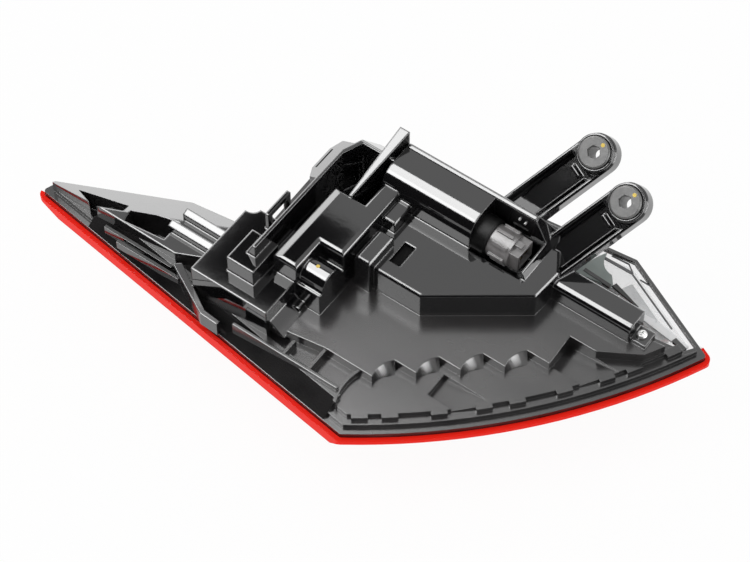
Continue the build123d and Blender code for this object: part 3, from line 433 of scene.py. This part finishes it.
def draw_out(shape, corners, travel):
    """Solid drawn out from a flat face."""
    base = flat_face(shape, corners)
    drawn = bmesh.ops.extrude_face_region(shape, geom=[base])["geom"]
    moved = [item for item in drawn if isinstance(item, bmesh.types.BMVert)]
    bmesh.ops.translate(shape, vec=travel, verts=moved)


def riser_facing(name, start):
    """Facing of a bowed riser: a section spun along the bow, its foot drawn out towards the far end."""
    half = RISER_CHORD.length / 2
    radius = (half ** 2 + RISER_BOW ** 2) / (2 * RISER_BOW)
    sweep = 2 * math.asin(half / radius)
    centre = start + RISER_CHORD / 2 + RISER_CHORD.normalized().cross(UPWARD) * (radius - RISER_BOW)
    outward = (start - centre).normalized()
    foot, top = RISER_LEVELS
    wall = start + outward * RISER_SINK
    toe = start - outward * RISER_SINK
    shape = bmesh.new()
    section = flat_face(shape, [wall + UPWARD * top, toe + UPWARD * foot, wall + UPWARD * foot])
    bmesh.ops.spin(shape, geom=[*shape.verts, *shape.edges, section], cent=centre, axis=UPWARD,
                   angle=-sweep, steps=RISER_STEPS)
    bmesh.ops.remove_doubles(shape, verts=shape.verts, dist=MERGE_GAP)
    for vert in shape.verts:
        reach = Vector((vert.co.x - centre.x, vert.co.y - centre.y, 0))
        if reach.length < radius:
            share = reach.angle(outward) / sweep
            vert.co -= reach.normalized() * RISER_DRAFT * math.sin(math.pi * RISER_TAPER * share)
    add_piece(name, shape, "gloss_black")


def crest_lip():
    """Low lip with a sloping front along the back of the crest."""
    shape = bmesh.new()
    left, right = CREST_LIP_X
    draw_out(shape, [(left, y, z) for y, z in CREST_LIP], (right - left, 0, 0))
    add_piece("crest_lip", shape, "gloss_black")


def round_stud(name, spot, axis, radius, length, finish_name):
    """Short round piece around an axis, a little narrower at its end."""
    shape = bmesh.new()
    turn = Vector(axis).to_track_quat("Z", "Y").to_matrix().to_4x4()
    bmesh.ops.create_cone(shape, cap_ends=True, segments=STUD_SIDES, radius1=radius,
                          radius2=radius * STUD_TAPER, depth=length, matrix=Matrix.Translation(spot) @ turn)
    add_piece(name, shape, finish_name)


def arm_rail(name, bush_top):
    """Thin rail along the trough of an arm."""
    shape = bmesh.new()
    axes = (ARM_HEADING, BUSH_AXIS.cross(ARM_HEADING), BUSH_AXIS)
    spans = (RAIL_ALONG, RAIL_ACROSS, RAIL_UP)
    middle = bush_top.copy()
    for axis, (low, high) in zip(axes, spans):
        middle += axis * (low + high) / 2
    turn = Matrix(axes).transposed().to_4x4()
    size = Matrix.Diagonal([high - low for low, high in spans] + [1])
    bmesh.ops.create_cube(shape, size=1, matrix=Matrix.Translation(middle) @ turn @ size)
    add_piece(name, shape, "gloss_black")


def notched_outline():
    """Outline of the bracket: its corners, and the round notch."""
    first, last = NOTCH_ANGLES
    outline = [*BRACKET]
    for step in range(NOTCH_STEPS + 1):
        angle = math.radians(first + (last - first) * step / NOTCH_STEPS)
        outline.append((NOTCH_MIDDLE[0] + NOTCH_RADIUS * math.cos(angle),
                        NOTCH_MIDDLE[1] + NOTCH_RADIUS * math.sin(angle)))
    return outline


def line_outline(start, end, start_width, end_width):
    """Outline of a straight line that may change its width."""
    start, end = Vector(start), Vector(end)
    across = (end - start).normalized().orthogonal() / 2
    return [start + across * start_width, start - across * start_width,
            end - across * end_width, end + across * end_width]


def panel_plate(name, outlines, thick, finish_name):
    """Flat pieces that stand on the colourless panel."""
    shape = bmesh.new()
    for outline in outlines:
        draw_out(shape, [(x, y, 0) for x, y in outline], UPWARD * thick)
    add_piece(name, shape, finish_name)


for number in range(RISER_COUNT):
    riser_facing(f"riser_facing_{number + 1}", RISER_START + RISER_PITCH * number)
crest_lip()
for side, bore in BUSH_BORES.items():
    bush_top = bore + BUSH_AXIS * BUSH_RISE
    mark_spot = bush_top + ARM_HEADING * BUSH_MARK_OUT
    round_stud(f"{side}_bush_mark", mark_spot, BUSH_AXIS, MARK_RADIUS, MARK_HEIGHT, "paint_yellow")
    arm_rail(f"{side}_arm_rail", bush_top)
round_stud("boss_mark", BOSS_MARK, UPWARD, MARK_RADIUS, MARK_HEIGHT, "paint_yellow")
for number, pin_spot in enumerate(POCKET_PINS, 1):
    round_stud(f"pocket_pin_{number}", pin_spot, PIN_AXIS, PIN_RADIUS, PIN_LENGTH, "zinc_steel")
panel_plate("panel_bracket", [notched_outline()], BRACKET_THICK, "pale_acrylic")
# Painted shade: black strips where the panel's slots show dark
panel_plate("panel_slot_shade", [line_outline(*line) for line in SHADED_SLOT_LINES], SHADED_SLOT_THICK, "chip_black")
# Painted shade: grey strips where the panel's ribs show as dark lines
panel_plate("panel_rib_shade", [line_outline(*line) for line in RIB_SHADE_LINES], RIB_SHADE_THICK, "trim_grey")
panel_plate("panel_seat", [line_outline(*line) for line in SEAT_LINES], SEAT_THICK, "plain_white")


# Stage
def seen_directly(tree):
    """One for camera, glossy and transmission rays, and nought for the light that falls on the part."""
    path = tree.nodes.new("ShaderNodeLightPath")
    total = path.outputs["Is Camera Ray"]
    for ray in ("Is Glossy Ray", "Is Transmission Ray"):
        total = joined(tree, "MAXIMUM", total, path.outputs[ray])
    return total


def studio_floor(height):
    """Plain white floor that keeps a faint shadow."""
    material, tree, shader = new_finish("floor_white")
    shader.inputs["Base Color"].default_value = FLOOR_WHITE
    shader.inputs["Roughness"].default_value = FLOOR_ROUGH
    glow = tree.nodes.new("ShaderNodeEmission")
    mix = tree.nodes.new("ShaderNodeMixShader")
    tree.links.new(ranged(tree, seen_directly(tree), (0, 1), 0, FLOOR_GLOW), mix.inputs["Fac"])
    tree.links.new(shader.outputs["BSDF"], mix.inputs[1])
    tree.links.new(glow.outputs["Emission"], mix.inputs[2])
    tree.links.new(mix.outputs["Shader"], tree.nodes["Material Output"].inputs["Surface"])
    shape = bmesh.new()
    bmesh.ops.create_grid(shape, x_segments=1, y_segments=1, size=FLOOR_SIZE,
                          matrix=Matrix.Translation(UPWARD * height))
    floor = placed("studio_floor", shape, material)


def studio_world():
    """White where it is seen or reflected, softer as a light."""
    world = bpy.data.worlds.new("studio")
    bpy.context.scene.world = world
    world.use_nodes = True
    tree = world.node_tree
    background = tree.nodes["Background"]
    background.inputs["Color"].default_value = (1, 1, 1, 1)
    strength = ranged(tree, seen_directly(tree), (0, 1), AMBIENT, 1)
    tree.links.new(strength, background.inputs["Strength"])


def softbox(name, place, width, height, radiance, gloss_only=True, level=False):
    """Area light towards the part, or downwards if level; a gloss-only one just shows in reflections."""
    light = bpy.data.lights.new(name, "AREA")
    light.shape = "RECTANGLE"
    light.size = width
    light.size_y = height
    light.energy = radiance * math.pi * width * height
    box = bpy.data.objects.new(name, light)
    turn = Matrix.Identity(4) if level else Vector(place).to_track_quat("Z", "Y").to_matrix().to_4x4()
    box.matrix_world = Matrix.Translation(place) @ turn
    box.visible_camera = False
    box.visible_diffuse = not gloss_only
    bpy.context.scene.collection.objects.link(box)


def around(first, second):
    """Corners of a rectangle, in order."""
    (left, right), (low, high) = first, second
    return [(left, low), (right, low), (right, high), (left, high)]


def black_flag(name, corners):
    """Flat black card, seen in reflections only."""
    material, _, shader = new_finish("flag_black")
    shader.inputs["Base Color"].default_value = FLAG_BLACK
    shader.inputs["Specular IOR Level"].default_value = 0
    shape = bmesh.new()
    flat_face(shape, corners)
    flag = placed(name, shape, material)
    for ray in ("camera", "diffuse", "transmission", "shadow"):
        setattr(flag, f"visible_{ray}", False)


def photo_camera():
    """Camera that sees the lamp as the photograph does."""
    back = Vector((math.sin(CAMERA_AZIMUTH) * math.cos(CAMERA_ELEVATION),
                   -math.cos(CAMERA_AZIMUTH) * math.cos(CAMERA_ELEVATION), math.sin(CAMERA_ELEVATION)))
    lens = bpy.data.cameras.new("photo_camera")
    lens.sensor_width = SENSOR_WIDTH
    lens.lens = SENSOR_WIDTH * CAMERA_DISTANCE / PICTURE_WIDTH
    camera = bpy.data.objects.new("photo_camera", lens)
    camera.location = back * CAMERA_DISTANCE
    camera.rotation_mode = "QUATERNION"
    camera.rotation_quaternion = back.to_track_quat("Z", "Y")
    bpy.context.scene.collection.objects.link(camera)
    bpy.context.scene.camera = camera


studio_floor(height=cad_box[0][2])
studio_world()
for name, card in SOFTBOXES.items():
    softbox(name, **card)
black_flag("front_flag", [(x, FRONT_FLAG_Y, z) for x, z in around(FRONT_FLAG_X, FRONT_FLAG_Z)])
black_flag("back_flag", [(x, y, BACK_FLAG_HEIGHT) for x, y in around(BACK_FLAG_X, BACK_FLAG_Y)])
photo_camera()
bpy.context.scene.view_settings.view_transform = "Standard"
